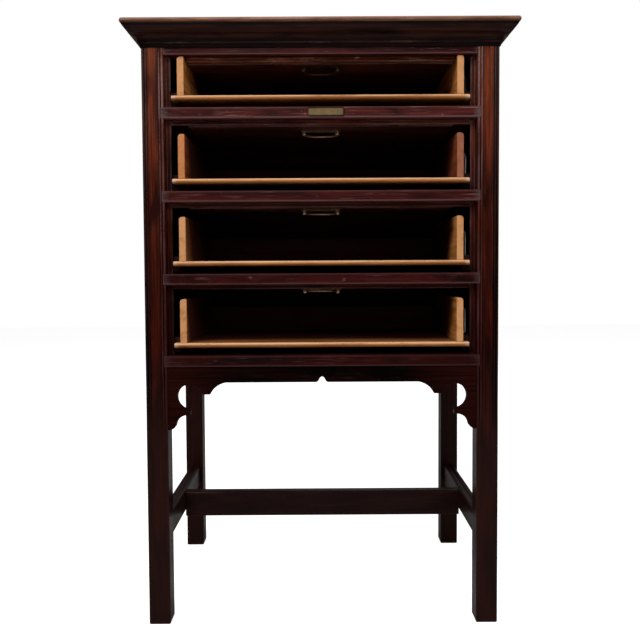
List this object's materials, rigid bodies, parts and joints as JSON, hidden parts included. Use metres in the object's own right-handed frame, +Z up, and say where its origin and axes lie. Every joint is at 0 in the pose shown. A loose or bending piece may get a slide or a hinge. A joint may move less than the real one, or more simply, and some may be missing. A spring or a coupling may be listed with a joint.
{
  "type": "sheet music cabinet",
  "caption": "Upright sheet-music cabinet on a stretchered stand, with open compartments holding sliding open-front trays behind swing-up flaps.",
  "frame": {"origin": "on the floor, at the centre of the whole cabinet's footprint", "axes": "+Z up, front towards -Y, +X to the viewer's right when facing the front"},
  "size_m": [0.614, 0.401, 0.9555],
  "materials": {
    "mahogany": "old french polish, dark red-brown, satin with worn arrises",
    "inner_wood": "plain dull secondary wood, unpolished",
    "tray_wood": "light tan satin walnut, thin dull polish",
    "aged_brass": "tarnished brass, polished on the rubbed edges",
    "plate_brass": "dull tarnished sheet brass, blank",
    "stay_metal": "thin bright strip, lightly dulled"
  },
  "bodies": {
    "root": {"back_panel": "inner_wood", "bottom_board": "inner_wood", "bottom_rail": "mahogany", "cornice_front": "mahogany", "cornice_left": "mahogany", "cornice_right": "mahogany", "cross_stretcher": "mahogany", "divider_rail_1": "mahogany", "divider_rail_2": "mahogany", "divider_rail_3": "mahogany", "dust_board_1": "inner_wood", "dust_board_2": "inner_wood", "dust_board_3": "inner_wood", "frieze_rail": "mahogany", "front_apron": "mahogany", "front_post_left": "mahogany", "front_post_right": "mahogany", "hinge_fixed_leaves": "aged_brass", "inner_top_board": "inner_wood", "maker_plate": "plate_brass", "opening_strips": "mahogany", "rear_post_left": "mahogany", "rear_post_right": "mahogany", "side_panel_left": "mahogany", "side_panel_right": "mahogany", "side_rails": "mahogany", "side_stretcher_left": "mahogany", "side_stretcher_right": "mahogany", "stay_strips": "stay_metal", "top_board": "mahogany", "tray_runners_left": "inner_wood", "tray_runners_right": "inner_wood"},
    "flap_1": {"flap_1_board": "mahogany", "flap_1_handle": "aged_brass", "flap_1_hinge_leaves": "aged_brass"},
    "flap_2": {"flap_2_board": "mahogany", "flap_2_handle": "aged_brass", "flap_2_hinge_leaves": "aged_brass"},
    "flap_3": {"flap_3_board": "mahogany", "flap_3_handle": "aged_brass", "flap_3_hinge_leaves": "aged_brass"},
    "flap_4": {"flap_4_board": "mahogany", "flap_4_handle": "aged_brass", "flap_4_hinge_leaves": "aged_brass"},
    "tray_1": {"tray_1_back": "tray_wood", "tray_1_floor": "tray_wood", "tray_1_side_left": "tray_wood", "tray_1_side_right": "tray_wood"},
    "tray_2": {"tray_2_back": "tray_wood", "tray_2_floor": "tray_wood", "tray_2_side_left": "tray_wood", "tray_2_side_right": "tray_wood"},
    "tray_3": {"tray_3_back": "tray_wood", "tray_3_floor": "tray_wood", "tray_3_side_left": "tray_wood", "tray_3_side_right": "tray_wood"},
    "tray_4": {"tray_4_back": "tray_wood", "tray_4_floor": "tray_wood", "tray_4_side_left": "tray_wood", "tray_4_side_right": "tray_wood"}
  },
  "joints": [
    {"name": "flap_1_hinge", "type": "hinge", "parent": "root", "child": "flap_1", "pos_m": [0, -0.1465, 0.9014], "axis": [-1, 0, 0], "range_deg": [0, 90]},
    {"name": "tray_1_slide", "type": "slide", "parent": "root", "child": "tray_1", "axis": [0, -1, 0], "range_m": [0, 0.2]},
    {"name": "flap_2_hinge", "type": "hinge", "parent": "root", "child": "flap_2", "pos_m": [0, -0.1465, 0.8023], "axis": [-1, 0, 0], "range_deg": [0, 90]},
    {"name": "tray_2_slide", "type": "slide", "parent": "root", "child": "tray_2", "axis": [0, -1, 0], "range_m": [0, 0.2]},
    {"name": "flap_3_hinge", "type": "hinge", "parent": "root", "child": "flap_3", "pos_m": [0, -0.1465, 0.672], "axis": [-1, 0, 0], "range_deg": [0, 90]},
    {"name": "tray_3_slide", "type": "slide", "parent": "root", "child": "tray_3", "axis": [0, -1, 0], "range_m": [0, 0.2]},
    {"name": "flap_4_hinge", "type": "hinge", "parent": "root", "child": "flap_4", "pos_m": [0, -0.1465, 0.5417], "axis": [-1, 0, 0], "range_deg": [0, 90]},
    {"name": "tray_4_slide", "type": "slide", "parent": "root", "child": "tray_4", "axis": [0, -1, 0], "range_m": [0, 0.2]}
  ]
}
